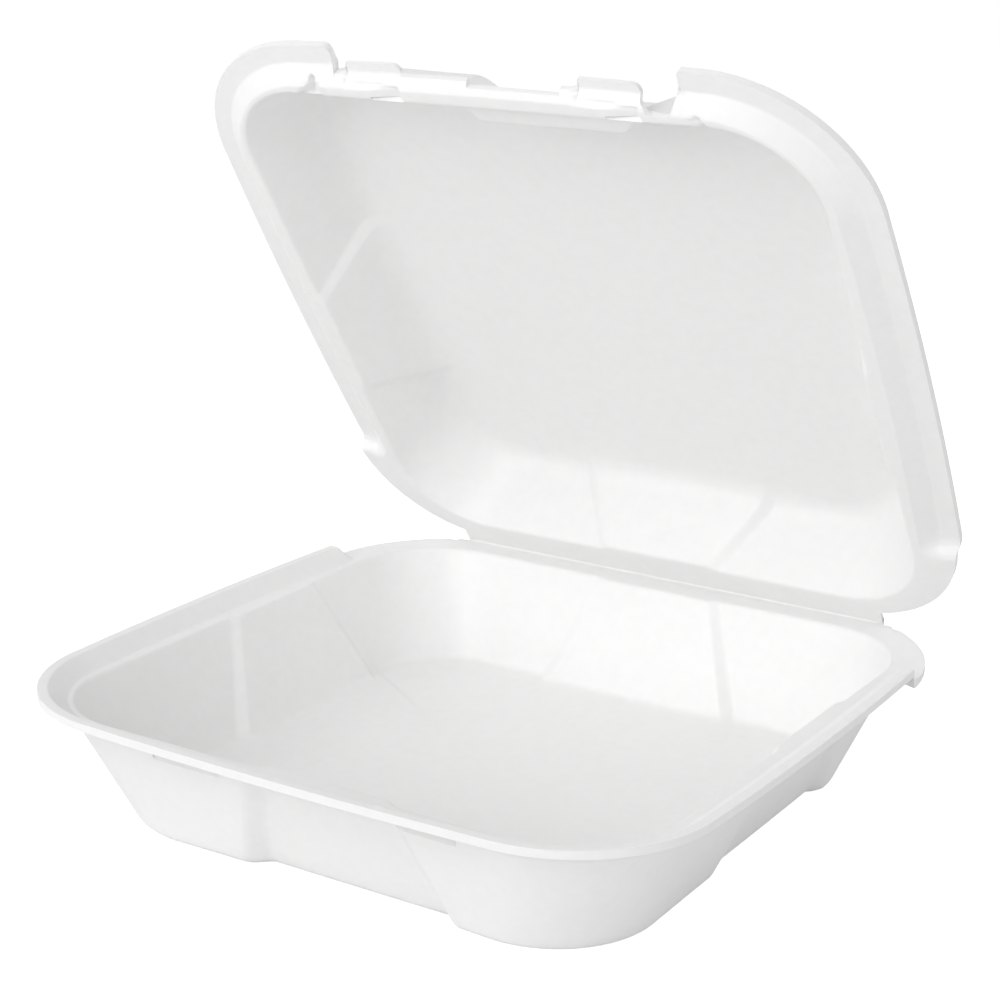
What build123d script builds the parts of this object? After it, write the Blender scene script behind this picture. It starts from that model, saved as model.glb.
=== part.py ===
from build123d import *
from math import cos, radians, sin, sqrt
import os

# Foam clamshell container: a tray and a lid moulded from one sheet of foam, folded at a crease.
# Millimetres, Z up. The tray stands on Z = 0, its front (the tab side) faces -Y.
# The lid is drawn on its own plane: x across, y from the crease to the front edge,
# z out of the open side.

# Driving dimensions
LIP_HALF = 117.5          # half width of the tray over its lip, both ways
FOAM = 2.6                # thickness of the foam sheet
TRAY_LEDGE_Z = 40.6       # top of the ledge inside the tray's rim
RIM_RISE = 4.6            # height of the sloped rim band above the ledge
LIP_WIDTH = 3.3           # flat top of the tray's lip
BAND_LEAN = 6.0           # how far the sloped band leans outward
LEDGE_WIDTH = 3.2         # flat ledge between the band and the wall
FLANGE_WIDTH = 6.6        # flat outer flange of the lid
CREST_WIDTH = 3.1         # flat crest of the lid, which sits on the ledge
NEST_GAP = 0.6            # air between the tray's rim and the closed lid
SIDE_BOW = 1.6            # outward bow of each rim side
RIM_RADIUS = 47.0         # plan radius of the lip at the corners
WALL_RADIUS = 31.0        # plan radius of the walls inside, from foot to rim
TRAY_TAPER = 15.5         # inward taper of the tray's walls
LID_DEPTH = 28.3          # from the crest down to the inside of the roof
LID_TAPER = 11.8          # inward taper of the lid's walls
EDGE_ROUND = 3.4          # softened edge round the base and the roof

# Stepped panels in the middle of each wall, wide at the foot and narrow at the rim
PANEL_HALF_RIM = 20.0
PANEL_CORNER_ROOM = 22.0  # wall left between a panel's half width and the corner at the foot
PANEL_BAND = 5.0          # width of the sloping band at each side of a panel
PANEL_STEP_FOOT = 3.0
PANEL_STEP_RIM = 0.8
FRONT_BAND = 8.0          # the front panel is deeper, with wider bands
FRONT_STEP_FOOT = 5.4
FRONT_STEP_RIM = 3.0
FRONT_PANEL_LESS = 4.5    # the front panel's half width at the foot is this much less
TRAY_FRONT_PANEL_X = 8.0  # the tray's front and rear panels are a little off the middle
TRAY_REAR_PANEL_X = 3.5
TRAY_SIDE_PANEL_Y = 17.0
LID_PANEL_X = 17.5        # the lid's front panel, wider at the rim
LID_PANEL_HALF_RIM = 23.0
LID_PANEL_DROP = 3.5      # it ends in a small ledge this far below the crest
LID_PANEL_SHIFT = 12.5    # the lid's side panels sit this far from its middle, to the hinge

# Hinge
HINGE_INSET = 1.5         # the crease lies this far inside the square of the tray's lip
HINGE_HALF = 89.5         # half length of the hinge strip
TRAY_REACH = 2.5          # the tray's rim ends this far before the crease
LID_REACH = 3.6           # and the lid's this far
HINGE_THICK = 1.5         # the strip is pressed thinner than the sheet
HINGE_EDGE_GAP = 0.2      # half the space left at the crease
TRAY_REAR_RADIUS = 54.5   # plan radius of the tray's flat rear corners
REAR_OVERSHOOT = 6.7      # their outline would meet this far behind the crease
LID_REAR_RADIUS = 46.0
OPEN_ANGLE = 55.8         # the lid's angle from closed, as photographed
LID_SETBACK = 0.5         # the closed lid sits this far behind the tray's middle
TRAY_BAND_STOP = 46.0     # the raised band of the tray stops this far from the crease
LID_BAND_STOP = 43.0      # and the lid's stops here

# Front edge of the lid
TAB_CENTRE_X = 42.0
TAB_WIDTH = 20.5
TAB_REACH = 0.6           # the tabs reach this far past the lid's gutter
TAB_TAPER = 0.8           # and are this much narrower at their edge, each side
FLANGE_CUT_LEFT = 59.0    # the corner flanges end here, beside the notches
FLANGE_CUT_RIGHT = 68.0
FLANGE_CUT_SLANT = 4.0    # the left one leans towards the middle, the right one less
TRIM_WIDE = 3.6           # crest to the trimmed edge beside the tabs
TRIM_NARROW = 2.0         # crest to the trimmed edge in the middle
TRIM_STEP_X0 = -12.5
TRIM_STEP_X1 = 26.0
TAB_SLIT = 1.5            # slit that frees the tab from the wall
TAB_SLIT_WIDTH = 17.0
TAB_SLIT_PLACE = 0.4      # from the inner edge of the crest
VEE_LEFT = 67.5           # shallow vees pressed in the crest beside the flanges
VEE_RIGHT = 76.0
VEE_HALF = 5.5
VEE_DEPTH = 1.4
VEE_LENGTH = 5.2
VEE_BACK = 2.2            # they start this far behind the crest's outer edge

# Lock slots in the tray's front band
SLOT_CENTRE_X = 41.5
SLOT_WIDTH = 28.0
SLOT_HEIGHT = 3.0
SLOT_BELOW_LEDGE = 1.2    # lower edge of the slot, from the ledge

# Derived sizes
LIP_Z = TRAY_LEDGE_Z + RIM_RISE
BAND_TOP = LIP_HALF - LIP_WIDTH
BAND_FOOT = BAND_TOP - BAND_LEAN
TRAY_WALL_TOP = BAND_FOOT - LEDGE_WIDTH
FLANGE_HALF = BAND_TOP - NEST_GAP / 2 + FLANGE_WIDTH
GUTTER = FLANGE_HALF - FLANGE_WIDTH
CREST_OUT = GUTTER - BAND_LEAN
CREST_IN = CREST_OUT - CREST_WIDTH
HINGE_Y = LIP_HALF - HINGE_INSET
LID_CENTRE_Y = HINGE_Y - LID_SETBACK
FRONT_CREST = LID_CENTRE_Y + CREST_OUT
PANEL_HALF_FOOT = TRAY_WALL_TOP - TRAY_TAPER - WALL_RADIUS - PANEL_CORNER_ROOM
FRONT_PANEL_HALF = PANEL_HALF_FOOT - FRONT_PANEL_LESS
LID_SIDE_PANEL_Y = LID_CENTRE_Y - LID_PANEL_SHIFT
TRAY_BAND_END = HINGE_Y - TRAY_BAND_STOP
PIVOT_Z = TRAY_LEDGE_Z + NEST_GAP / 2
BAND_THICK = 1.1          # the sloped band's sheet, measured level on its outer side
OVERLAP = 1.0             # how far joined shapes run into each other
TRAY_LEAN = TRAY_TAPER / TRAY_LEDGE_Z
LID_LEAN = LID_TAPER / LID_DEPTH
EDGE_LEVELS = ((0, EDGE_ROUND), (0.3 * EDGE_ROUND, 0.3 * EDGE_ROUND), (EDGE_ROUND, 0))


def rim_face(half, y_front, y_rear, radius, bow=SIDE_BOW):
    """A rounded square with gently bowed sides."""
    k = radius * (1 - 1 / sqrt(2))
    r = half - radius
    mid = (y_front + y_rear) / 2
    low, high = y_front + radius, y_rear - radius
    arcs = [
        ((-r, y_front), (0, y_front - bow), (r, y_front)),
        ((r, y_front), (half - k, y_front + k), (half, low)),
        ((half, low), (half + bow, mid), (half, high)),
        ((half, high), (half - k, y_rear - k), (r, y_rear)),
        ((r, y_rear), (0, y_rear + bow), (-r, y_rear)),
        ((-r, y_rear), (k - half, y_rear - k), (-half, high)),
        ((-half, high), (-half - bow, mid), (-half, low)),
        ((-half, low), (k - half, y_front + k), (-r, y_front)),
    ]
    edges = [Edge.make_three_point_arc(*a) if bow or i % 2 else Edge.make_line(a[0], a[2])
             for i, a in enumerate(arcs)]
    return Face(Wire(edges))


def square_rim(half, centre_y=0.0, radius=None):
    """The rim's outline at one level; its corners are concentric with the tray's lip unless told."""
    return rim_face(half, centre_y - half, centre_y + half, radius or RIM_RADIUS - LIP_HALF + half)


def plain_panel(share, middle):
    """Middle, half width, band width and step of a side or rear panel at one level.

    share is 0 at the foot of the wall and 1 at the rim.
    """
    half_width = PANEL_HALF_FOOT + (PANEL_HALF_RIM - PANEL_HALF_FOOT) * share
    return middle, half_width, PANEL_BAND, PANEL_STEP_FOOT + (PANEL_STEP_RIM - PANEL_STEP_FOOT) * share


def front_panel(share, middle, half_rim=PANEL_HALF_RIM, step=True):
    """The same for the deeper front panel; without its step the wall there is flat."""
    half_width = FRONT_PANEL_HALF + (half_rim - FRONT_PANEL_HALF) * share
    depth = FRONT_STEP_FOOT + (FRONT_STEP_RIM - FRONT_STEP_FOOT) * share if step else 0
    return middle, half_width, FRONT_BAND, depth


def wall_face(half, radius, centre_y, near, side, far):
    """One level of the walls, with the panels at low y, at both sides and at high y."""
    low, high = centre_y - half, centre_y + half
    nx, nw, nb, nd = near
    sy, sw, sb, sd = side
    fx, fw, fb, fd = far
    points = [
        (-half, low), (nx - nw - nb, low), (nx - nw, low + nd), (nx + nw, low + nd), (nx + nw + nb, low),
        (half, low), (half, sy - sw - sb), (half - sd, sy - sw), (half - sd, sy + sw), (half, sy + sw + sb),
        (half, high), (fx + fw + fb, high), (fx + fw, high - fd), (fx - fw, high - fd), (fx - fw - fb, high),
        (-half, high), (-half, sy + sw + sb), (sd - half, sy + sw), (sd - half, sy - sw),
        (-half, sy - sw - sb),
    ]
    face = Face(Wire.make_polygon(points, close=True))
    corners = [v for v in face.vertices() if abs(abs(v.X) - half) < 1e-4]
    corners = [v for v in corners if min(abs(v.Y - low), abs(v.Y - high)) < 1e-4]
    return face.fillet_2d(radius, corners)


# Tray
def tray_level(height, inset=0.0, outside=False):
    """The tray's walls at a height above the foot of that side of the sheet.

    The rounded edge at the foot keeps the corner centres of the wall above it.
    """
    z = height if outside else height + FOAM
    share = z / TRAY_LEDGE_Z
    step = FOAM * sqrt(1 + TRAY_LEAN ** 2) if outside else 0
    half = TRAY_WALL_TOP - TRAY_TAPER * (1 - share) + step - inset
    radius = WALL_RADIUS + step - inset - TRAY_LEAN * max(EDGE_ROUND - height, 0)
    return wall_face(half, radius, 0, front_panel(share, TRAY_FRONT_PANEL_X),
                     plain_panel(share, TRAY_SIDE_PANEL_Y), plain_panel(share, TRAY_REAR_PANEL_X))


with BuildPart() as tray:
    # Outside of the bowl, with a softened edge round the base
    for height, inset in (*EDGE_LEVELS, (TRAY_LEDGE_Z - FOAM, 0)):
        with BuildSketch(Plane.XY.offset(height)):
            add(tray_level(height, inset, outside=True))
    loft(ruled=True)
    # Sloped band and lip on the front and the sides
    with BuildPart(mode=Mode.PRIVATE) as band:
        for z, half in ((TRAY_LEDGE_Z - FOAM, BAND_FOOT + BAND_THICK), (LIP_Z - FOAM, BAND_TOP + BAND_THICK)):
            with BuildSketch(Plane.XY.offset(z)):
                add(square_rim(half))
        loft(ruled=True)
        with BuildSketch(Plane.XY.offset(LIP_Z - FOAM)):
            add(square_rim(LIP_HALF))
        extrude(amount=FOAM)
        for z, half in ((TRAY_LEDGE_Z, BAND_FOOT), (LIP_Z, BAND_TOP)):
            with BuildSketch(Plane.XY.offset(z)):
                add(square_rim(half))
        loft(ruled=True, mode=Mode.SUBTRACT)
        split(bisect_by=Plane.XZ.offset(-TRAY_BAND_END), keep=Keep.TOP)
    add(band.part)
    # Flat rim round the rear corners, and the thinner hinge strip up to the crease
    rim_end, strip_end = HINGE_Y - TRAY_REACH, HINGE_Y - HINGE_EDGE_GAP
    for start, end, thick in ((TRAY_BAND_END, rim_end, FOAM), (rim_end - OVERLAP, strip_end, HINGE_THICK)):
        with BuildSketch(Plane.XY.offset(TRAY_LEDGE_Z - thick)):
            add(rim_face(LIP_HALF, -LIP_HALF, HINGE_Y + REAR_OVERSHOOT, TRAY_REAR_RADIUS, bow=0))
            with Locations((0, start)):
                Rectangle(3 * LIP_HALF, end - start, align=(Align.CENTER, Align.MIN), mode=Mode.INTERSECT)
        extrude(amount=thick)
    # Inside of the bowl
    for height, inset in (*EDGE_LEVELS, (TRAY_LEDGE_Z - FOAM + OVERLAP, 0)):
        with BuildSketch(Plane.XY.offset(FOAM + height)):
            add(tray_level(height, inset))
    loft(ruled=True, mode=Mode.SUBTRACT)
    # Lock slots under the lip
    for side in (-1, 1):
        with BuildSketch(Plane.XZ.offset(BAND_FOOT - OVERLAP)):
            with Locations((side * SLOT_CENTRE_X, TRAY_LEDGE_Z - SLOT_BELOW_LEDGE)):
                Rectangle(SLOT_WIDTH, SLOT_HEIGHT, align=(Align.CENTER, Align.MIN))
        extrude(amount=LIP_WIDTH + BAND_LEAN + 2 * OVERLAP, mode=Mode.SUBTRACT)
tray.part.label = "tray"

# Lid, drawn on the plane of its crest
lean = radians(OPEN_ANGLE)
out_of_lid = Vector(0, -sin(lean), -cos(lean))
crest_origin = Vector(0, HINGE_Y, PIVOT_Z) - out_of_lid * (NEST_GAP / 2)
lid_plane = Plane(origin=crest_origin, x_dir=(1, 0, 0), z_dir=out_of_lid)


def lid_level(height, inset=0.0, outside=False, step=True):
    """The lid's walls at a height above the roof's face on that side of the sheet."""
    depth = LID_DEPTH + (FOAM if outside else 0) - height
    share = 1 - depth / LID_DEPTH
    thick = FOAM * sqrt(1 + LID_LEAN ** 2) if outside else 0
    half = CREST_IN - LID_TAPER * (1 - share) + thick - inset
    radius = WALL_RADIUS + thick - inset - LID_LEAN * max(EDGE_ROUND - height, 0)
    return wall_face(half, radius, LID_CENTRE_Y, plain_panel(share, 0), plain_panel(share, LID_SIDE_PANEL_Y),
                     front_panel(share, LID_PANEL_X, LID_PANEL_HALF_RIM, step))


with BuildPart() as lid:
    # Crest, sloped band and flange on the front and the sides
    with BuildPart(mode=Mode.PRIVATE) as lid_band:
        for z, half in ((-RIM_RISE, GUTTER), (0, CREST_OUT)):
            with BuildSketch(lid_plane.offset(z)):
                add(square_rim(half, LID_CENTRE_Y))
        loft(ruled=True)
        with BuildSketch(lid_plane.offset(-RIM_RISE - FOAM)):
            add(square_rim(FLANGE_HALF, LID_CENTRE_Y, RIM_RADIUS + 2))
        extrude(amount=FOAM)
        for z, half in ((-RIM_RISE - FOAM, GUTTER - BAND_THICK), (-FOAM, CREST_OUT - BAND_THICK)):
            with BuildSketch(lid_plane.offset(z)):
                add(square_rim(half, LID_CENTRE_Y))
        loft(ruled=True, mode=Mode.SUBTRACT)
        # Trim along the front: corner flanges, notches, tabs and the stepped middle
        tab_l, tab_r = TAB_CENTRE_X - TAB_WIDTH / 2, TAB_CENTRE_X + TAB_WIDTH / 2
        wide, narrow = FRONT_CREST + TRIM_WIDE, FRONT_CREST + TRIM_NARROW
        tab_edge = LID_CENTRE_Y + GUTTER + TAB_REACH
        flange_line = LID_CENTRE_Y + GUTTER + BAND_THICK
        far = LID_CENTRE_Y + FLANGE_HALF + 10 * OVERLAP
        cut_l, cut_r, slant = -FLANGE_CUT_LEFT, FLANGE_CUT_RIGHT, FLANGE_CUT_SLANT
        with BuildSketch(lid_plane.offset(-RIM_RISE - FOAM - OVERLAP)):
            with BuildLine():
                Polyline(
                    (cut_l + slant, far), (cut_l + slant, flange_line), (cut_l, wide), (-tab_r, wide),
                    (TAB_TAPER - tab_r, tab_edge), (-TAB_TAPER - tab_l, tab_edge), (-tab_l, wide),
                    (TRIM_STEP_X0, wide), (TRIM_STEP_X0, narrow), (TRIM_STEP_X1, narrow), (TRIM_STEP_X1, wide),
                    (tab_l, wide), (tab_l + TAB_TAPER, tab_edge), (tab_r - TAB_TAPER, tab_edge), (tab_r, wide),
                    (cut_r - slant / 2, wide), (cut_r, flange_line), (cut_r, far), close=True)
            make_face()
        extrude(amount=RIM_RISE + FOAM + 3 * OVERLAP, mode=Mode.SUBTRACT)
        band_stop = Plane(lid_plane.location * Pos(0, LID_BAND_STOP, 0)).rotated((90, 0, 0))
        split(bisect_by=band_stop, keep=Keep.BOTTOM)
    add(lid_band.part)
    # Flat rim round the rear corners
    with BuildSketch(lid_plane.offset(-FOAM)):
        add(rim_face(FLANGE_HALF, LID_REACH, 2 * LID_CENTRE_Y, LID_REAR_RADIUS, bow=0))
        depth = LID_BAND_STOP - LID_REACH
        with Locations((0, LID_REACH)):
            Rectangle(3 * LIP_HALF, depth, align=(Align.CENTER, Align.MIN), mode=Mode.INTERSECT)
    extrude(amount=FOAM)
    # Thinner hinge strip from the crease
    with BuildSketch(lid_plane.offset(-HINGE_THICK)):
        with Locations((0, HINGE_EDGE_GAP)):
            Rectangle(2 * HINGE_HALF, LID_REACH + OVERLAP, align=(Align.CENTER, Align.MIN))
    extrude(amount=HINGE_THICK)
    # The bowl's outside and then its inside, each up to the front panel's ledge and then past it
    ledge = LID_DEPTH - LID_PANEL_DROP
    for outside, top in ((True, LID_DEPTH + FOAM / 2), (False, LID_DEPTH + OVERLAP)):
        foot_plane = lid_plane.offset(-LID_DEPTH - (FOAM if outside else 0))
        mode = Mode.ADD if outside else Mode.SUBTRACT
        for height, inset in (*EDGE_LEVELS, (ledge, 0)):
            with BuildSketch(foot_plane.offset(height)):
                add(lid_level(height, inset, outside))
        loft(ruled=True, mode=mode)
        for height in (ledge, top):
            with BuildSketch(foot_plane.offset(height)):
                add(lid_level(height, 0, outside, step=False))
        loft(ruled=True, mode=mode)
    # Slits that free the tabs, and shallow vees pressed in the crest beside the flanges
    for side, vee_x in ((-1, -VEE_LEFT), (1, VEE_RIGHT)):
        with BuildSketch(lid_plane.offset(-2 * FOAM)):
            with Locations((side * TAB_CENTRE_X, LID_CENTRE_Y + CREST_IN + TAB_SLIT_PLACE)):
                SlotOverall(TAB_SLIT_WIDTH, TAB_SLIT)
        extrude(amount=3 * FOAM, mode=Mode.SUBTRACT)
        vee_back, vee_tip = FRONT_CREST - VEE_BACK, FRONT_CREST - VEE_BACK + VEE_LENGTH
        with BuildSketch(lid_plane.offset(-VEE_DEPTH)):
            with BuildLine():
                Polyline((vee_x - VEE_HALF, vee_back), (vee_x + VEE_HALF, vee_back), (vee_x, vee_tip),
                         close=True)
            make_face()
        extrude(amount=VEE_DEPTH + OVERLAP, mode=Mode.SUBTRACT)
lid.part.label = "lid"

os.makedirs("parts", exist_ok=True)
export_step(tray.part, "parts/tray.step")
export_step(lid.part, "parts/lid.step")
for name, piece in (("tray", tray.part), ("lid", lid.part)):
    box = piece.bounding_box()
    print(name, "solids", len(piece.solids()), "valid", piece.is_valid, "volume", round(piece.volume),
          "faces", len(piece.faces()), box.min, box.max)
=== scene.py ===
from collections import namedtuple
import math

import bpy
import numpy as np
from mathutils import Matrix, Vector


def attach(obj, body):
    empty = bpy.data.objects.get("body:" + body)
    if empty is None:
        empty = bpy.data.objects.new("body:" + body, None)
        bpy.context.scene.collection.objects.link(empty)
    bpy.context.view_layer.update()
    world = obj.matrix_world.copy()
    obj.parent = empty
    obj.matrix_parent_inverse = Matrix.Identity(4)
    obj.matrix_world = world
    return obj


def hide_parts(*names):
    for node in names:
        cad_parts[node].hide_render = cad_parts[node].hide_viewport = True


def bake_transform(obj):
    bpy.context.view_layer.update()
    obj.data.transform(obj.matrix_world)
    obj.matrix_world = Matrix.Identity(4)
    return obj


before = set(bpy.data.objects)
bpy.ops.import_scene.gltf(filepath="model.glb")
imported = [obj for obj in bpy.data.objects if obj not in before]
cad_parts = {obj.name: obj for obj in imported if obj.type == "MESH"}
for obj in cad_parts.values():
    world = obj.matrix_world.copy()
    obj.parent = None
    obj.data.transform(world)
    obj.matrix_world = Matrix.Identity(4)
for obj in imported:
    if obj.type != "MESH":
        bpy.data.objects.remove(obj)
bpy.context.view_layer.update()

# Foam clamshell container. Lengths below are millimetres, as in the solid model.
# Each half of the foam sheet is one grid: columns run from the middle of the floor out to the rim,
# levels run round the bowl. Both halves are drawn with the opening up and the front at low y.
MM = 0.001

LIP_HALF = 117.5          # from the middle of the tray to the outside of its lip
FOAM = 2.6                # thickness of the sheet
RIM_RISE = 4.6            # height of the sloped band
LIP_WIDTH = 3.3
BAND_LEAN = 6.0
LEDGE_WIDTH = 3.2
FLANGE_WIDTH = 6.6
CREST_WIDTH = 3.1
NEST_GAP = 0.6            # air between the closed halves
SIDE_BOW = 1.6            # how far each side of the rim swells outward at its middle
RIM_RADIUS = 47.0
WALL_RADIUS = 31.0
BAND_THICK = 1.1          # how far the far face of the sloped band stands off in plan

TRAY_LEDGE_Z = 40.6
TRAY_TAPER = 15.5
LID_DEPTH = 28.3
LID_TAPER = 11.8
LID_PANEL_DROP = 3.5

HINGE_Y = 116.0
HINGE_HALF = 89.5
TRAY_REACH = 2.5
LID_REACH = 3.6
HINGE_THICK = 1.5
HINGE_EDGE_GAP = 0.2
TRAY_REAR_RADIUS = 54.5
REAR_OVERSHOOT = 6.7
LID_REAR_RADIUS = 46.0
OPEN_ANGLE = 55.8
LID_CENTRE_Y = 115.5
TRAY_BAND_END = 70.0
LID_BAND_END = 72.5       # from the lid's middle

SLOT_CENTRE_X = 41.5
SLOT_WIDTH = 28.0
TAB_CENTRE_X = 42.0
TAB_WIDTH = 20.5
TAB_REACH = 0.6
TAB_SLIT_WIDTH = 17.0
FLANGE_CUT_LEFT = 59.0
FLANGE_CUT_RIGHT = 68.0
FLANGE_CUT_SLANT = 4.0
TRIM_WIDE = 3.6
TRIM_NARROW = 2.0
TRIM_STEP_X0 = -6.5
TRIM_STEP_X1 = 26.0
VEE_LEFT = 67.5
VEE_RIGHT = 76.0
VEE_HALF = 5.5

BAND_TOP = LIP_HALF - LIP_WIDTH
BAND_FOOT = BAND_TOP - BAND_LEAN
TRAY_WALL_TOP = BAND_FOOT - LEDGE_WIDTH
FLANGE_HALF = BAND_TOP - NEST_GAP / 2 + FLANGE_WIDTH
GUTTER = FLANGE_HALF - FLANGE_WIDTH
CREST_OUT = GUTTER - BAND_LEAN
CREST_IN = CREST_OUT - CREST_WIDTH
PIVOT_Z = TRAY_LEDGE_Z + NEST_GAP / 2
KNEE = 54.0               # straight stretch where columns run square to the rim

FRONT, RIGHT, REAR, LEFT = range(4)
CORNER = 4                # added to a side's number for the corner that follows it

Panel = namedtuple("Panel", "middle half_rim half_foot band step_foot step_rim")
PANEL_HALF_RIM = 20.0
PANEL_HALF_FOOT = 36.5
PANEL_BAND = 5.0
PANEL_STEP_FOOT = 3.2
PANEL_STEP_RIM = 1.5
FRONT_PANEL_HALF_FOOT = 32.0
FRONT_PANEL_BAND = 8.0
FRONT_PANEL_STEP_FOOT = 5.4


def plain_panel(middle):
    """The stepped panel of a side or rear wall."""
    return Panel(middle, PANEL_HALF_RIM, PANEL_HALF_FOOT, PANEL_BAND, PANEL_STEP_FOOT, PANEL_STEP_RIM)


def front_panel(middle, half_rim, step_rim):
    """The deeper stepped panel of a front wall."""
    return Panel(middle, half_rim, FRONT_PANEL_HALF_FOOT, FRONT_PANEL_BAND, FRONT_PANEL_STEP_FOOT, step_rim)


TRAY_PANELS = {FRONT: front_panel(8.0, PANEL_HALF_RIM, 3.0), RIGHT: plain_panel(17.0),
               REAR: plain_panel(3.5), LEFT: plain_panel(17.0)}
LID_PANELS = {FRONT: front_panel(17.5, 23.0, 6.5), RIGHT: plain_panel(12.5), REAR: plain_panel(0.0),
              LEFT: plain_panel(12.5)}


def ease(t):
    """A soft step from 0 to 1."""
    t = np.clip(t, 0.0, 1.0)
    return t * t * (3 - 2 * t)


class Columns:
    """The grid's columns in order round the bowl, counterclockwise from the front left corner."""

    STEP = 3.2                                # widest gap between columns on a side
    END_TURNS = (2.5, 5.0, 7.5)               # plan angles of the corner columns, in degrees
    FINE_TURNS = (1.5, 3.0, 4.5, 6.0, 8.0)
    MIDDLE_TURNS = range(10, 81, 5)

    def __init__(self, panels, marks, centre, foot_centre):
        self.panels = panels
        self.centre = centre
        self.foot_centre = foot_centre
        side, place, angle = [], [], []
        for k in (FRONT, RIGHT, REAR, LEFT):
            stops = self.stops(list(marks.get(k, ())) + panel_marks(panels[k]))
            stops = stops[::-1] if k in (REAR, LEFT) else stops
            side += [k] * len(stops)
            place += stops
            angle += [0.0] * len(stops)
            turns = self.turns(k)
            side += [k + CORNER] * len(turns)
            place += [0.0] * len(turns)
            angle += [math.radians(a + 90 * (k - 1)) for a in turns]
        self.side = np.array(side)
        self.place = np.array(place)
        self.angle = np.array(angle)
        self.corner = self.side >= CORNER

    def stops(self, marks):
        """Places of the columns on one side: the marks, and even steps between them."""
        fixed = sorted({-self.centre, self.centre, *(round(m, 3) for m in marks)})
        out = []
        for a, b in zip(fixed, fixed[1:]):
            n = max(1, math.ceil((b - a) / self.STEP))
            out += [a + (b - a) * i / n for i in range(n)]
        return out + [fixed[-1]]

    def turns(self, k):
        """Plan angles of the columns in the corner after side k, without its two ends."""
        low = self.FINE_TURNS if k == RIGHT else self.END_TURNS
        high = self.FINE_TURNS if k == REAR else self.END_TURNS
        return [*low, *self.MIDDLE_TURNS, *(90 - a for a in reversed(high))]

    def of_panel(self, field):
        """One value of each column's panel."""
        values = [getattr(self.panels[k], field) for k in (FRONT, RIGHT, REAR, LEFT)]
        return np.select([self.side == k for k in range(4)], values, 0.0)

    def behind(self):
        """The rear side and the two rear corners."""
        return (self.side == REAR) | (self.side == RIGHT + CORNER) | (self.side == REAR + CORNER)

    def ahead(self):
        """The front side and the two front corners."""
        return (self.side == FRONT) | (self.side == FRONT + CORNER) | (self.side == LEFT + CORNER)


def panel_marks(panel):
    """Rim places of a panel's edges, with steps across its two bands."""
    steps = [panel.half_rim + panel.band * t for t in (0, 0.12, 0.3, 0.5, 0.7, 0.88, 1)]
    return [panel.middle + s for s in steps] + [panel.middle - s for s in steps]


def bowl(cols, half, radius, share, front_step=1.0):
    """Plan outline of the walls at one level, with the stepped panels.

    share is 0 at the foot of the wall and 1 at the rim.
    """
    c = half - radius
    middle, w_rim, w_foot = cols.of_panel("middle"), cols.of_panel("half_rim"), cols.of_panel("half_foot")
    band = np.maximum(cols.of_panel("band"), 0.01)
    off = cols.place - middle
    reach = np.abs(off)
    end_rim = np.abs(np.sign(off) * cols.centre - middle)
    end_foot = np.maximum(np.abs(np.sign(off) * cols.foot_centre - middle), w_foot + band + 1)
    beyond = (reach - w_rim - band) / np.maximum(end_rim - w_rim - band, 0.01)
    low = np.where(
        reach < w_rim, reach * w_foot / np.maximum(w_rim, 0.01),
        np.where(reach < w_rim + band, reach - w_rim + w_foot,
                 w_foot + band + beyond * (end_foot - w_foot - band)))
    along = middle + np.sign(off) * (low + (reach - low) * share)
    t = (w_rim + band - reach) / band
    step_foot, step_rim = cols.of_panel("step_foot"), cols.of_panel("step_rim")
    depth = (step_foot + (step_rim - step_foot) * share) * ease(t)
    depth *= np.where(cols.side == FRONT, front_step, 1.0)
    return place_round(cols, along, half - depth, half - depth, c, c, radius)


def rim(cols, half, rear_half=None, radius=None, bow=SIDE_BOW):
    """Plan outline of a rim line. rear_half and radius are given for the flat rear rim."""
    radius = RIM_RADIUS - LIP_HALF + half if radius is None else radius
    rear_half = half if rear_half is None else rear_half
    cx, cy = half - radius, rear_half - radius
    s = cols.place
    along_x = (cols.side == FRONT) | (cols.side == REAR)
    span = np.where(along_x, cx, np.where(s > 0, cy, cx))
    reach = np.abs(s)
    stretched = KNEE + (reach - KNEE) * (span - KNEE) / (cols.centre - KNEE)
    along = np.where(reach > KNEE, stretched, reach) * np.sign(s)
    swell = bow * (1 - np.clip(along / (half - radius), -1, 1) ** 2)
    return place_round(cols, along, half + swell, rear_half + swell, cx, cy, radius, half + swell)


def place_round(cols, along, side_half, rear_half, cx, cy, radius, front_half=None):
    """Plan points of all columns on a rounded square."""
    front_half = side_half if front_half is None else front_half
    sides = [cols.side == k for k in (FRONT, RIGHT, REAR, LEFT)]
    x = np.select(sides, [along, side_half, along, -side_half], 0.0)
    y = np.select(sides, [-front_half, along, rear_half, along], 0.0)
    cos, sin = np.cos(cols.angle), np.sin(cols.angle)
    y_centre = np.where(sin > 0, cy, -cx)
    x = np.where(cols.corner, np.sign(cos) * cx + radius * cos, x)
    y = np.where(cols.corner, y_centre + radius * sin, y)
    return np.stack([x, y], axis=1)


def lift(plan, z):
    """Plan points at height z."""
    return np.concatenate([plan, np.broadcast_to(np.asarray(z, float), len(plan))[:, None]], axis=1)


ROUND_SHARE = 0.42        # a rounding takes up at most this share of the straight runs beside it
LEAST_ROUND = 0.06


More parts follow.
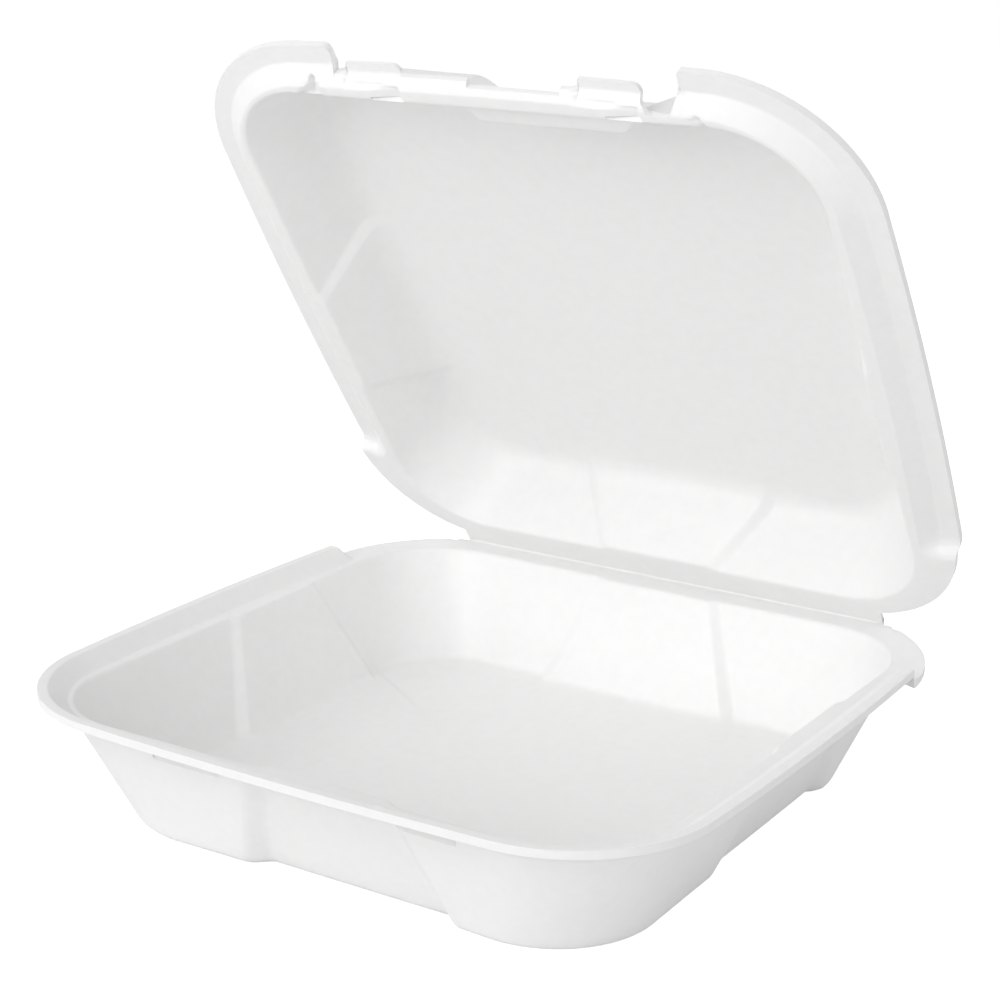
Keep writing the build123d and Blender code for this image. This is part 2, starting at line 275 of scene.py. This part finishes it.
def rounded_rows(points, radii, straight_steps, turn_steps):
    """Rows of the grid along each column's corner points, with its corners rounded.

    Returns the rows and, for each corner point, the number of its middle row.
    """
    rows, marks, start = [points[0]], [0], points[0]
    for k in range(1, len(points)):
        here = points[k]
        last = k == len(points) - 1
        if last or radii[k] == 0:
            enter = leave = here
        else:
            back, ahead = points[k - 1] - here, points[k + 1] - here
            lb = np.maximum(np.linalg.norm(back, axis=1, keepdims=True), 1e-6)
            la = np.maximum(np.linalg.norm(ahead, axis=1, keepdims=True), 1e-6)
            cos = np.clip(np.sum(back * ahead, axis=1, keepdims=True) / (lb * la), -1, 1)
            turn = np.pi - np.arccos(cos)
            reach = np.minimum(radii[k] * np.tan(turn / 2), ROUND_SHARE * np.minimum(lb, la))
            reach = np.maximum(reach, LEAST_ROUND)
            enter, leave = here + back / lb * reach, here + ahead / la * reach
        n = straight_steps[k - 1]
        rows += [start + (enter - start) * i / n for i in range(1, n + 1)]
        marks.append(len(rows) - 1)
        if not last and radii[k]:
            for i in range(1, turn_steps + 1):
                t = i / turn_steps
                rows.append(enter * (1 - t) ** 2 + here * 2 * t * (1 - t) + leave * t * t)
            marks[-1] += turn_steps // 2
        start = leave
    return np.stack(rows, axis=1), marks


CUT_ANGLE = 50            # faces that meet at more degrees than this aren't shaded as one surface


def sheet_mesh(name, top, under, present, flip):
    """A sheet with thickness from two grids of points. present says which cells of the grid exist."""
    n, m = top.shape[:2]
    both = np.concatenate([top.reshape(-1, 3), under.reshape(-1, 3)])
    shift = n * m

    def at(i, j, low=0):
        return (0 if j == 0 else (i % n) * m + j) + low * shift

    faces = []

    def add(*corner):
        ring = [c for k, c in enumerate(corner) if c != corner[k - 1]]
        if len(ring) > 2:
            faces.append(ring[::-1] if flip else ring)

    for i in range(n):
        for j in range(m - 1):
            if not present[i, j]:
                continue
            k = (i + 1) % n
            add(at(i, j), at(i, j + 1), at(k, j + 1), at(k, j))
            add(at(k, j, 1), at(k, j + 1, 1), at(i, j + 1, 1), at(i, j, 1))
            if j == m - 2 or not present[i, j + 1]:
                add(at(i, j + 1), at(i, j + 1, 1), at(k, j + 1, 1), at(k, j + 1))
            if j > 0 and not present[i, j - 1]:
                add(at(k, j), at(k, j, 1), at(i, j, 1), at(i, j))
            if not present[k, j]:
                add(at(k, j + 1), at(k, j + 1, 1), at(k, j, 1), at(k, j))
            if not present[i - 1, j]:
                add(at(i, j), at(i, j, 1), at(i, j + 1, 1), at(i, j + 1))
    used = np.unique(np.concatenate([np.array(f) for f in faces]))
    renumber = np.zeros(len(both), int)
    renumber[used] = np.arange(len(used))
    mesh = bpy.data.meshes.new(name)
    mesh.from_pydata((both[used] * MM).tolist(), [], [[int(renumber[v]) for v in f] for f in faces])
    mesh.validate()
    mesh.shade_smooth()
    mesh.set_sharp_from_angle(angle=math.radians(CUT_ANGLE))
    piece = bpy.data.objects.new(name, mesh)
    bpy.context.scene.collection.objects.link(piece)
    return piece


# The sizes in which the two halves differ. rim_z is the height of the ledge or crest; wall_top is where the
# wall meets it, taper and height are the wall's; feet are where floor and wall meet on each face; bend_foot
# and bend_top are the ends of the sloped band and edge is the outside; flat is the plain rim round the rear;
# strip is the hinge strip; drop is the depth of the panel's ledge below the rim.
Half = namedtuple("Half", "rim_z wall_top taper height inside_foot outside_foot bend_foot bend_top edge "
                          "outer_z flat_half flat_rear flat_radius flat_end strip_half strip_end band_end "
                          "band_fade drop inside_round outside_round")
TRAY = Half(rim_z=TRAY_LEDGE_Z, wall_top=TRAY_WALL_TOP, taper=TRAY_TAPER, height=TRAY_LEDGE_Z,
            inside_foot=FOAM, outside_foot=0.0,
            bend_foot=BAND_FOOT, bend_top=BAND_TOP, edge=LIP_HALF, outer_z=TRAY_LEDGE_Z + RIM_RISE,
            flat_half=LIP_HALF, flat_rear=HINGE_Y + REAR_OVERSHOOT, flat_radius=TRAY_REAR_RADIUS,
            flat_end=HINGE_Y - TRAY_REACH, strip_half=None, strip_end=HINGE_Y - HINGE_EDGE_GAP,
            band_end=TRAY_BAND_END, band_fade=4.5, drop=None, inside_round=4.2, outside_round=4.6)
LID = Half(rim_z=0.0, wall_top=CREST_IN, taper=LID_TAPER, height=LID_DEPTH,
           inside_foot=0.0, outside_foot=-FOAM,
           bend_foot=CREST_OUT, bend_top=GUTTER, edge=FLANGE_HALF, outer_z=-RIM_RISE,
           flat_half=FLANGE_HALF, flat_rear=LID_CENTRE_Y - LID_REACH, flat_radius=LID_REAR_RADIUS,
           flat_end=LID_CENTRE_Y - LID_REACH, strip_half=HINGE_HALF,
           strip_end=LID_CENTRE_Y - HINGE_EDGE_GAP, band_end=LID_BAND_END, band_fade=8.0,
           drop=LID_PANEL_DROP, inside_round=9.5, outside_round=14.0)

# Numbers of rows on the straight runs, and in each rounded bend
FLOOR_STEPS = 14
WALL_STEPS = 12
LEDGE_STEPS = 3
BAND_STEPS = 10
LIP_STEPS = 4
TURN_STEPS = 4
LEDGE_HALF_RISE = 0.5
PANEL_LEDGE_ROUND = 0.5
RIM_ROUND = 1.6
BAND_ROUND = 1.3
FLAT_SHARES = (0.4, 0.7, 1.0)             # where the plain rear rim has its rows
STRIP_SHARES = (0.15, 0.4, 0.7, 1.0)      # where the hinge strip has its rows


def half_shell(name, cols, shape, fold, detail, flip, to_world):
    """One half of the sheet: two grids of points, one for each face of the foam.

    fold moves the bend before the outer edge inward in some columns. detail changes rows afterwards.
    """
    slope = shape.taper / shape.height
    thick = FOAM * math.sqrt(1 + slope * slope)
    base = shape.rim_z - shape.height
    on_front = cols.ahead()
    rows = []
    for under in (False, True):
        extra, lower = (thick, FOAM) if under else (0.0, 0.0)
        tuck = BAND_THICK * (1 if shape.outer_z > shape.rim_z else -1) if under else 0.0

        def wall(height, front_step=1.0):
            """The wall's points at a height above the plane where the panels have their foot width."""
            share = height / shape.height
            half = shape.wall_top - shape.taper * (1 - share) + extra
            return lift(bowl(cols, half, WALL_RADIUS + extra, share, front_step), base + height)

        foot_height = shape.outside_foot if under else shape.inside_foot
        top_height = shape.height - lower
        step = 0.0 if shape.drop else 1.0
        foot = wall(foot_height)
        top = wall(top_height, step)
        middle = []
        if shape.drop:
            ledge = shape.height - shape.drop - lower
            middle = [wall(ledge - LEDGE_HALF_RISE), wall(ledge + LEDGE_HALF_RISE, 0.0)]
        bend = [lift(rim(cols, shape.bend_foot + tuck), shape.rim_z - lower),
                lift(rim(cols, shape.bend_top + tuck), shape.outer_z - lower),
                lift(rim(cols, shape.edge), shape.outer_z - lower)]
        bend[1][:, 1] += fold
        outline = rim(cols, shape.flat_half, rear_half=shape.flat_rear, radius=shape.flat_radius, bow=0)
        flat_edge = outline.copy()
        flat_edge[:, 1] = np.minimum(flat_edge[:, 1], shape.flat_end)
        flat_edge = lift(flat_edge, shape.rim_z - lower)
        flat = [top + (flat_edge - top) * f for f in FLAT_SHARES]
        raised = 1 - ease((bend[1][:, 1] - shape.band_end) / shape.band_fade + 0.5)
        raised = np.where(on_front, 1.0, raised)[:, None]
        bend = [flat[k] + (bend[k] - flat[k]) * raised for k in range(3)]
        centre = np.tile([0.0, 0.0, base + foot_height], (len(cols.side), 1))
        corners = [centre, foot, *middle, top, *bend]
        foot_round = shape.outside_round if under else shape.inside_round
        rounds = [0, foot_round, *[PANEL_LEDGE_ROUND] * len(middle), RIM_ROUND, BAND_ROUND, BAND_ROUND, 0]
        steps = [FLOOR_STEPS, WALL_STEPS, *([2, 3] if middle else []), LEDGE_STEPS, BAND_STEPS, LIP_STEPS]
        made, marks = rounded_rows(corners, rounds, steps, TURN_STEPS)
        rows.append(made)
    # The thinner hinge strip goes on behind the rear edge
    behind = cols.behind()
    reach = rows[0][:, -1, 0]
    if shape.strip_half is None:
        strip = behind & (outline[:, 1] > shape.flat_end + 0.01)
        strip_y = np.minimum(outline[:, 1], shape.strip_end)
    else:
        strip = behind & (np.abs(reach) <= shape.strip_half)
        strip_y = np.full(len(reach), shape.strip_end)
    strip_row = rows[0].shape[1] - 1
    for k, low in ((0, 0.0), (1, HINGE_THICK)):
        last = rows[k][:, -1]
        added = []
        for t in STRIP_SHARES:
            p = last.copy()
            p[:, 1] = np.where(strip, last[:, 1] + (strip_y - last[:, 1]) * t, last[:, 1])
            p[:, 2] = np.where(strip, shape.rim_z - low, last[:, 2])
            added.append(p)
        rows[k] = np.concatenate([rows[k], np.stack(added, axis=1)], axis=1)
    present = np.ones((len(cols.side), rows[0].shape[1] - 1), bool)
    both = strip & np.roll(strip, -1)
    present[:, strip_row:] = both[:, None]
    detail(cols, rows, marks, present)
    return sheet_mesh(name, to_world(rows[0]), to_world(rows[1]), present, flip)


def between(cols, side, low, high):
    """The cells of one side whose columns lie between two places."""
    here = (cols.side == side) & (cols.place >= low - 0.01) & (cols.place <= high + 0.01)
    return here & np.roll(here, -1)


def slope_in(x, low, high, soft):
    """1 between two places, falling to 0 over the width soft outside of them."""
    return ease((x - low) / soft + 1) * ease((high - x) / soft + 1)


SLOT_BULGE = 0.7          # the lower edge of each slot stands this far out
SLOT_BULGE_BELOW = 0.3    # and the row below it by this share of that
NUB_X = 37.0              # a small mould mark on the front lip
NUB_HALF = 1.8
NUB_HEIGHT = 0.45


def tray_detail(cols, rows, marks, present):
    """The lock slots in the front wall, and the mould mark on the lip."""
    front = cols.side == FRONT
    low = marks[-4] - 3                   # the last row of cells of the wall, just under its bend
    for side in (-1, 1):
        x = side * SLOT_CENTRE_X
        cells = between(cols, FRONT, x - SLOT_WIDTH / 2, x + SLOT_WIDTH / 2)
        present[cells, low] = False
        bulge = slope_in(cols.place, x - SLOT_WIDTH / 2 + 1, x + SLOT_WIDTH / 2 - 1, 2.5) * front
        rows[1][:, low, 1] -= SLOT_BULGE * bulge
        rows[1][:, low - 1, 1] -= SLOT_BULGE * SLOT_BULGE_BELOW * bulge
    bump = NUB_HEIGHT * np.clip(1 - np.abs(cols.place - NUB_X) / NUB_HALF, 0, 1) * front
    for k, share in ((marks[-2] + 1, 0.6), (marks[-2] + 2, 1.0), (marks[-2] + 3, 0.6)):
        rows[0][:, k, 2] += bump * share


Cut = namedtuple("Cut", "start end level start_round end_round")
# The round notch beside the right flange: places along the front, and how far past the crest the sheet ends
NOTCH = ((52.4, 3.4), (53.6, 2.2), (55.0, 0.4), (56.5, -0.3), (58.5, -0.6), (61.0, -0.6), (63.0, -0.3),
         (64.8, 1.0), (66.0, 3.6), (66.8, 6.0), (67.6, 8.2), (67.9, 9.6))
FAR = 1000.0              # off the sheet
SPARE = 0.001             # columns this near a cut side count as on it
# The parts of the front edge that aren't trimmed back: the left flange, the two tabs and the right flange.
# level is how far they reach, None for the flange's own edge; the rounds are those of the two ends.
LID_CUTS = (
    Cut(-FAR, FLANGE_CUT_SLANT / 2 - FLANGE_CUT_LEFT, None, 0.0, 3.4),
    Cut(-TAB_CENTRE_X - TAB_WIDTH / 2, -TAB_CENTRE_X + TAB_WIDTH / 2, GUTTER + TAB_REACH, 0.7, 2.6),
    Cut(TAB_CENTRE_X - TAB_WIDTH / 2, TAB_CENTRE_X + TAB_WIDTH / 2, GUTTER + TAB_REACH, 0.7, 2.6),
    Cut(FLANGE_CUT_RIGHT, FAR, None, 1.2, 0.0),
)
CUT_STEP = 0.08           # width over which a cut side runs


def cut_marks():
    """Places of columns along the cut ends, close together where they are rounded."""
    out = []
    for cut in LID_CUTS:
        for place, radius, way in ((cut.start, cut.start_round, 1), (cut.end, cut.end_round, -1)):
            if abs(place) < FAR:
                out += [place - way * CUT_STEP]
                out += [place + way * radius * t for t in (0, 0.06, 0.2, 0.4, 0.65, 1)]
    for place, way in ((TRIM_STEP_X0, 1), (TRIM_STEP_X1, -1)):
        out += [place - way * CUT_STEP, place, place + way * 0.5]
    out += [place for place, depth in NOTCH]
    return out


def rounded_end(distance, radius):
    """How much a rounded corner lowers an edge at a distance from the cut side."""
    d = np.clip(distance, 0, radius)
    return radius - np.sqrt(np.maximum(radius ** 2 - (radius - d) ** 2, 0))


def trim_line(cols, edge):
    """For each front column, how far from the lid's middle the sheet is trimmed."""
    x = cols.place
    middle = (x >= TRIM_STEP_X0) & (x <= TRIM_STEP_X1)
    bow = SIDE_BOW * (1 - np.clip(x / (FLANGE_HALF - RIM_RADIUS - 3), -1, 1) ** 2)
    line = CREST_OUT + np.where(middle, TRIM_NARROW, TRIM_WIDE) + bow
    for cut in LID_CUTS:
        level = edge if cut.level is None else cut.level + bow
        shape = level - rounded_end(x - cut.start, cut.start_round) - rounded_end(cut.end - x, cut.end_round)
        line = np.where((x >= cut.start - SPARE) & (x <= cut.end + SPARE), shape, line)
    places, depths = zip(*NOTCH)
    inside = (x > places[0]) & (x < FLANGE_CUT_RIGHT - SPARE)
    line = np.where(inside, CREST_OUT + np.interp(x, places, depths), line)
    return np.where(cols.side == FRONT, line, FAR)


TAB_FOLD = 2.9            # the fold across each tab lies this far inside the gutter
VEE_DEEP = 3.0
TAB_LIFT = 1.8
TRIM_THICK = 1.3          # the foam is pressed thin along the trimmed edge
SLIT_SHIFT = 2.5          # slits and lifted tab ends lie a little to the right of the tabs
POCKET_DEEP = 1.1


def tab_fold(cols):
    """How far inward the bend before the edge moves on the tabs."""
    fold = np.zeros(len(cols.side))
    for side in (-1, 1):
        x = side * TAB_CENTRE_X
        fold += TAB_FOLD * slope_in(cols.place, x - TAB_WIDTH / 2, x + TAB_WIDTH / 2, 0.4)
    return fold * (cols.side == FRONT)


def lid_detail(cols, rows, marks, present):
    """The trimmed front edge with its tabs and flange ends, the vees, pockets and slits."""
    wall_row, crest_row = marks[-4], marks[-3]
    count = rows[0].shape[1]
    last = count - len(STRIP_SHARES)
    x = np.where(cols.side == FRONT, cols.place, FAR)
    # Dents that press the crest towards the back of the sheet
    lower = np.zeros((len(x), count))
    for vee in (-VEE_LEFT, VEE_RIGHT):
        lower += vee_dent(x, vee, wall_row, crest_row, count)
    for side in (-1, 1):
        centre, end = side * TAB_CENTRE_X, side * TAB_CENTRE_X + TAB_WIDTH / 2
        ramp = np.clip((x - centre + 3) / (end - 1.5 - centre + 3), 0, 1) * ease((end + 1.2 - x) / 2.7)
        lower += TAB_LIFT * ramp[:, None] * row_hump(count, wall_row - 1, wall_row + 1, crest_row,
                                                     crest_row + 5)
        pocket = slope_in(x, centre - 7.5, centre + 1.5, 2.0)
        lower += POCKET_DEEP * pocket[:, None] * row_hump(count, crest_row - 1, crest_row + 2,
                                                          crest_row + 3, crest_row + 7)
        cells = between(cols, FRONT, centre - 4 + SLIT_SHIFT, centre + TAB_SLIT_WIDTH / 2 + SLIT_SHIFT)
        present[cells, wall_row - 1:wall_row + 2] = False
    for grid in rows:
        grid[:, :, 2] -= lower
        trim_rows(cols, grid, wall_row + 1, crest_row - 1, last)
    thin = slope_in(x, -FLANGE_CUT_LEFT + FLANGE_CUT_SLANT, FLANGE_CUT_RIGHT - FLANGE_CUT_SLANT, 3.0)
    outer = np.clip((np.arange(count) - crest_row) / 5, 0, 1)
    share = thin[:, None, None] * outer[None, :, None] * (1 - TRIM_THICK / FOAM)
    rows[1] += (rows[0] - rows[1]) * share


def vee_dent(x, middle, wall_row, crest_row, count):
    """Depth of one V-shaped dent at every point of the grid."""
    k = np.arange(count)[None, :]
    half = VEE_HALF * np.clip((crest_row + 8.5 - k) / (crest_row + 8.5 - wall_row), 0.02, 1.0)
    across = np.clip(1 - np.abs(x - middle)[:, None] / half, 0, 1)
    return VEE_DEEP * across ** 0.8 * row_hump(count, wall_row - 3, wall_row, crest_row + 4, crest_row + 8)


def row_hump(count, start, full, hold, end):
    """One weight for each row: 0 before start, 1 from full to hold, 0 after end."""
    k = np.arange(count)
    return (ease((k - start) / max(full - start, 1)) * ease((end - k) / max(end - hold, 1)))[None, :]


def trim_rows(cols, grid, deepest, usual, last):
    """Shortens the rows of each trimmed column, so that its last row lies on the trim line.

    Rows from usual to last are spread over what is left, or from deepest where the line cuts that far in.
    """
    edge = -grid[:, last - 1, 1]
    line = trim_line(cols, edge)
    for i in np.flatnonzero(cols.side == FRONT):
        first = usual if line[i] > 0.3 - grid[i, usual, 1] else deepest
        path = grid[i, first:last].copy()
        away = -path[:, 1]
        if line[i] >= away[-1] - 1e-4:
            continue
        k = max(int(np.argmax(away >= line[i])), 1)
        part = (line[i] - away[k - 1]) / (away[k] - away[k - 1])
        end = path[k - 1] + (path[k] - path[k - 1]) * part
        kept = np.concatenate([path[:k], end[None]])
        run = np.concatenate([[0], np.cumsum(np.linalg.norm(np.diff(kept, axis=0), axis=1))])
        at = np.linspace(0, run[-1], last - first)
        for axis in range(3):
            grid[i, first:last, axis] = np.interp(at, run, kept[:, axis])
        grid[i, last:] = grid[i, last - 1]


def tray_world(p):
    """The tray is drawn where it stands."""
    return p


LEAN = math.radians(OPEN_ANGLE)
LID_OUT = np.array([0.0, -math.sin(LEAN), -math.cos(LEAN)])
LID_FORWARD = np.array([0.0, -math.cos(LEAN), math.sin(LEAN)])
CREST_ORIGIN = np.array([0.0, HINGE_Y, PIVOT_Z]) - LID_OUT * NEST_GAP / 2


def lid_world(p):
    """Points of the lid, drawn like the tray, on the leaning lid."""
    x, y, z = p[..., 0], p[..., 1], p[..., 2]
    return (CREST_ORIGIN + x[..., None] * np.array([1.0, 0, 0])
            + (LID_CENTRE_Y - y)[..., None] * LID_FORWARD + z[..., None] * LID_OUT)


slot_marks = [s * SLOT_CENTRE_X + h for s in (-1, 1) for h in (-SLOT_WIDTH / 2, SLOT_WIDTH / 2)]
nub_marks = [NUB_X + h for h in (-NUB_HALF, -NUB_HALF / 2, 0, NUB_HALF / 2, NUB_HALF)]
slit_marks = [s * TAB_CENTRE_X + SLIT_SHIFT + h for s in (-1, 1) for h in (-4, TAB_SLIT_WIDTH / 2)]
vee_marks = [v + VEE_HALF * t for v in (-VEE_LEFT, VEE_RIGHT)
             for t in (-1, -0.6, -0.3, -0.1, 0, 0.1, 0.3, 0.6, 1)]
band_marks = [TRAY_BAND_END + d for d in (-3, -2, -1, 0, 1, 2, 3)]
tray_cols = Columns(TRAY_PANELS, {FRONT: slot_marks + nub_marks, RIGHT: band_marks, LEFT: band_marks},
                    TRAY_WALL_TOP - WALL_RADIUS, TRAY_WALL_TOP - TRAY_TAPER - WALL_RADIUS)
lid_centre = CREST_IN - WALL_RADIUS
front_marks = [m for m in cut_marks() + slit_marks + vee_marks if abs(m) < lid_centre]
lid_cols = Columns(LID_PANELS, {FRONT: front_marks}, lid_centre, lid_centre - LID_TAPER)

tray = half_shell("tray_shell", tray_cols, TRAY, 0.0, tray_detail, False, tray_world)
lid = half_shell("lid_shell", lid_cols, LID, tab_fold(lid_cols), lid_detail, True, lid_world)

WEB_OUTSIDE = NEST_GAP / 2 + HINGE_THICK
WEB_INSIDE = NEST_GAP / 2 + 0.05
WEB_RUN = 1.0             # how far the web runs into each strip
WEB_TURN = 180 - OPEN_ANGLE
WEB_STEPS = 16            # round the fold
WEB_LENGTHS = 40          # along the crease


def hinge_web():
    """The folded foam at the crease, between the two strips."""
    edge = rim(lid_cols, LID.flat_half, rear_half=LID.flat_rear, radius=LID.flat_radius, bow=0)
    half = max(x for x in edge[lid_cols.behind(), 0] if x <= HINGE_HALF)
    along = [half * (2 * i / WEB_LENGTHS - 1) for i in range(WEB_LENGTHS + 1)]
    section = []
    for radius in (WEB_OUTSIDE, WEB_INSIDE):
        turn = [math.radians(-90 + WEB_TURN * i / WEB_STEPS) for i in range(WEB_STEPS + 1)]
        arc = [(HINGE_Y + radius * math.cos(a), PIVOT_Z + radius * math.sin(a)) for a in turn]
        first = (arc[0][0] - WEB_RUN, arc[0][1])
        over = (-math.sin(turn[-1]), math.cos(turn[-1]))
        last = (arc[-1][0] + over[0] * WEB_RUN, arc[-1][1] + over[1] * WEB_RUN)
        line = [first, *arc, last]
        section.append(line if radius == WEB_OUTSIDE else line[::-1])
    ring = section[0] + section[1]
    count = len(ring)
    points = [(x * MM, y * MM, z * MM) for x in along for y, z in ring]
    faces = []
    for i in range(len(along) - 1):
        for j in range(count):
            k = (j + 1) % count
            faces.append([i * count + j, (i + 1) * count + j, (i + 1) * count + k, i * count + k])
    faces.append(list(range(count)))
    faces.append([(len(along) - 1) * count + j for j in reversed(range(count))])
    mesh = bpy.data.meshes.new("hinge_web")
    mesh.from_pydata(points, [], faces)
    mesh.validate()
    mesh.shade_smooth()
    piece = bpy.data.objects.new("hinge_web", mesh)
    bpy.context.scene.collection.objects.link(piece)
    return piece


web = hinge_web()


def foam_material():
    """White expanded foam: a satin skin over small closed cells."""
    mat = bpy.data.materials.new("white_foam")
    mat.use_nodes = True
    nodes, links = mat.node_tree.nodes, mat.node_tree.links
    shader = nodes["Principled BSDF"]
    shader.inputs["Roughness"].default_value = 0.38
    shader.inputs["Specular IOR Level"].default_value = 0.4
    place = nodes.new("ShaderNodeTexCoord")
    skin = nodes.new("ShaderNodeTexNoise")
    skin.inputs["Scale"].default_value = 260.0
    skin.inputs["Detail"].default_value = 1.0
    skin.inputs["Roughness"].default_value = 0.6
    links.new(place.outputs["Object"], skin.inputs["Vector"])
    bump = nodes.new("ShaderNodeBump")
    bump.inputs["Strength"].default_value = 0.16
    bump.inputs["Distance"].default_value = 0.0005
    links.new(skin.outputs["Fac"], bump.inputs["Height"])
    links.new(bump.outputs["Normal"], shader.inputs["Normal"])
    tone = nodes.new("ShaderNodeMix")
    tone.data_type = "RGBA"
    factor, low_tone, high_tone, result = tone.inputs[0], tone.inputs[6], tone.inputs[7], tone.outputs[2]
    low_tone.default_value = (0.87, 0.872, 0.87, 1)
    high_tone.default_value = (0.91, 0.91, 0.906, 1)
    links.new(skin.outputs["Fac"], factor)
    links.new(result, shader.inputs["Base Color"])
    return mat


foam = foam_material()
for piece in (tray, lid, web):
    piece.data.materials.append(foam)
for piece, node in ((tray, "tray"), (lid, "lid")):
    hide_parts(node)
    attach(piece, node)
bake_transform(web)

# Camera, as the photograph was taken
CAMERA_DISTANCE = 0.7056
CAMERA_AZIMUTH = 32.34
CAMERA_ELEVATION = 16.34
CAMERA_ROLL = 0.73
CAMERA_TARGET = Vector((0.00106, 0.0, 0.09936))
CAMERA_LENS = 79.55


def add_camera():
    """The photograph's view."""
    az, el = math.radians(CAMERA_AZIMUTH), math.radians(CAMERA_ELEVATION)
    back = Vector((math.sin(az) * math.cos(el), -math.cos(az) * math.cos(el), math.sin(el)))
    camera = bpy.data.objects.new("camera", bpy.data.cameras.new("camera"))
    camera.data.lens = CAMERA_LENS
    camera.data.sensor_width = 36.0
    camera.location = CAMERA_TARGET + back * CAMERA_DISTANCE
    turn = (-back).to_track_quat("-Z", "Y").to_matrix() @ Matrix.Rotation(math.radians(CAMERA_ROLL), 3, "Z")
    camera.rotation_euler = turn.to_euler()
    bpy.context.scene.collection.objects.link(camera)
    bpy.context.scene.camera = camera


OBJECT_MIDDLE = (0, 0, 0.08)
LAMP_SIZE = 1.2


def add_lamp(name, place, power):
    """A soft square lamp at place, turned to the object."""
    data = bpy.data.lights.new(name, "AREA")
    data.shape = "SQUARE"
    data.size = LAMP_SIZE
    data.energy = power
    lamp = bpy.data.objects.new(name, data)
    lamp.location = place
    lamp.rotation_euler = (Vector(OBJECT_MIDDLE) - Vector(place)).to_track_quat("-Z", "Y").to_euler()
    bpy.context.scene.collection.objects.link(lamp)


WORLD_LIGHT = 0.36


def add_world():
    """White where the camera looks, and a softer white as light."""
    world = bpy.data.worlds.new("studio")
    bpy.context.scene.world = world
    world.use_nodes = True
    nodes, links = world.node_tree.nodes, world.node_tree.links
    nodes.clear()
    out = nodes.new("ShaderNodeOutputWorld")
    ray = nodes.new("ShaderNodeLightPath")
    seen, light = nodes.new("ShaderNodeBackground"), nodes.new("ShaderNodeBackground")
    seen.inputs["Strength"].default_value = 1.0
    seen.inputs["Color"].default_value = (1, 1, 1, 1)
    light.inputs["Strength"].default_value = WORLD_LIGHT
    light.inputs["Color"].default_value = (1, 1, 1, 1)
    either = nodes.new("ShaderNodeMath")
    either.operation = "MAXIMUM"
    every = nodes.new("ShaderNodeMath")
    every.operation = "MAXIMUM"
    mix = nodes.new("ShaderNodeMixShader")
    links.new(ray.outputs["Is Camera Ray"], either.inputs[0])
    links.new(ray.outputs["Is Glossy Ray"], either.inputs[1])
    links.new(either.outputs[0], every.inputs[0])
    links.new(ray.outputs["Is Transmission Ray"], every.inputs[1])
    links.new(every.outputs[0], mix.inputs[0])
    links.new(light.outputs[0], mix.inputs[1])
    links.new(seen.outputs[0], mix.inputs[2])
    links.new(mix.outputs[0], out.inputs["Surface"])


FLOOR_RADIUS = 4.0
FLOOR_SIDES = 96
FLOOR_GLOW = 0.70         # strength of the floor's own light for the camera
FLOOR_BOUNCE = 0.05       # and for the object


def add_floor():
    """A pale round floor that shows white and keeps the object's shadow."""
    ring = [(FLOOR_RADIUS * math.cos(2 * math.pi * i / FLOOR_SIDES),
             FLOOR_RADIUS * math.sin(2 * math.pi * i / FLOOR_SIDES), 0.0) for i in range(FLOOR_SIDES)]
    mesh = bpy.data.meshes.new("floor")
    mesh.from_pydata(ring, [], [list(range(FLOOR_SIDES))])
    floor = bpy.data.objects.new("floor", mesh)
    bpy.context.scene.collection.objects.link(floor)
    mat = bpy.data.materials.new("pale_floor")
    mat.use_nodes = True
    nodes, links = mat.node_tree.nodes, mat.node_tree.links
    nodes.clear()
    out = nodes.new("ShaderNodeOutputMaterial")
    matte = nodes.new("ShaderNodeBsdfDiffuse")
    matte.inputs["Color"].default_value = (0.85, 0.85, 0.85, 1)
    glow = nodes.new("ShaderNodeEmission")
    glow.inputs["Color"].default_value = (1, 1, 1, 1)
    ray = nodes.new("ShaderNodeLightPath")
    level = nodes.new("ShaderNodeMath")
    level.operation = "MULTIPLY_ADD"
    level.inputs[1].default_value = FLOOR_GLOW - FLOOR_BOUNCE
    level.inputs[2].default_value = FLOOR_BOUNCE
    links.new(ray.outputs["Is Camera Ray"], level.inputs[0])
    links.new(level.outputs[0], glow.inputs["Strength"])
    both = nodes.new("ShaderNodeAddShader")
    links.new(matte.outputs[0], both.inputs[0])
    links.new(glow.outputs[0], both.inputs[1])
    links.new(both.outputs[0], out.inputs["Surface"])
    mesh.materials.append(mat)


add_camera()
add_world()
add_floor()
add_lamp("front", (-0.3, -1.5, 0.8), 13.0)
add_lamp("left", (-1.3, -0.45, 0.8), 4.5)
add_lamp("right", (1.5, -0.5, 0.6), 5.0)
add_lamp("top", (-0.2, -0.7, 1.6), 3.0)
add_lamp("back", (0.4, 1.6, 0.8), 8.0)

bpy.context.scene.view_settings.view_transform = "Standard"
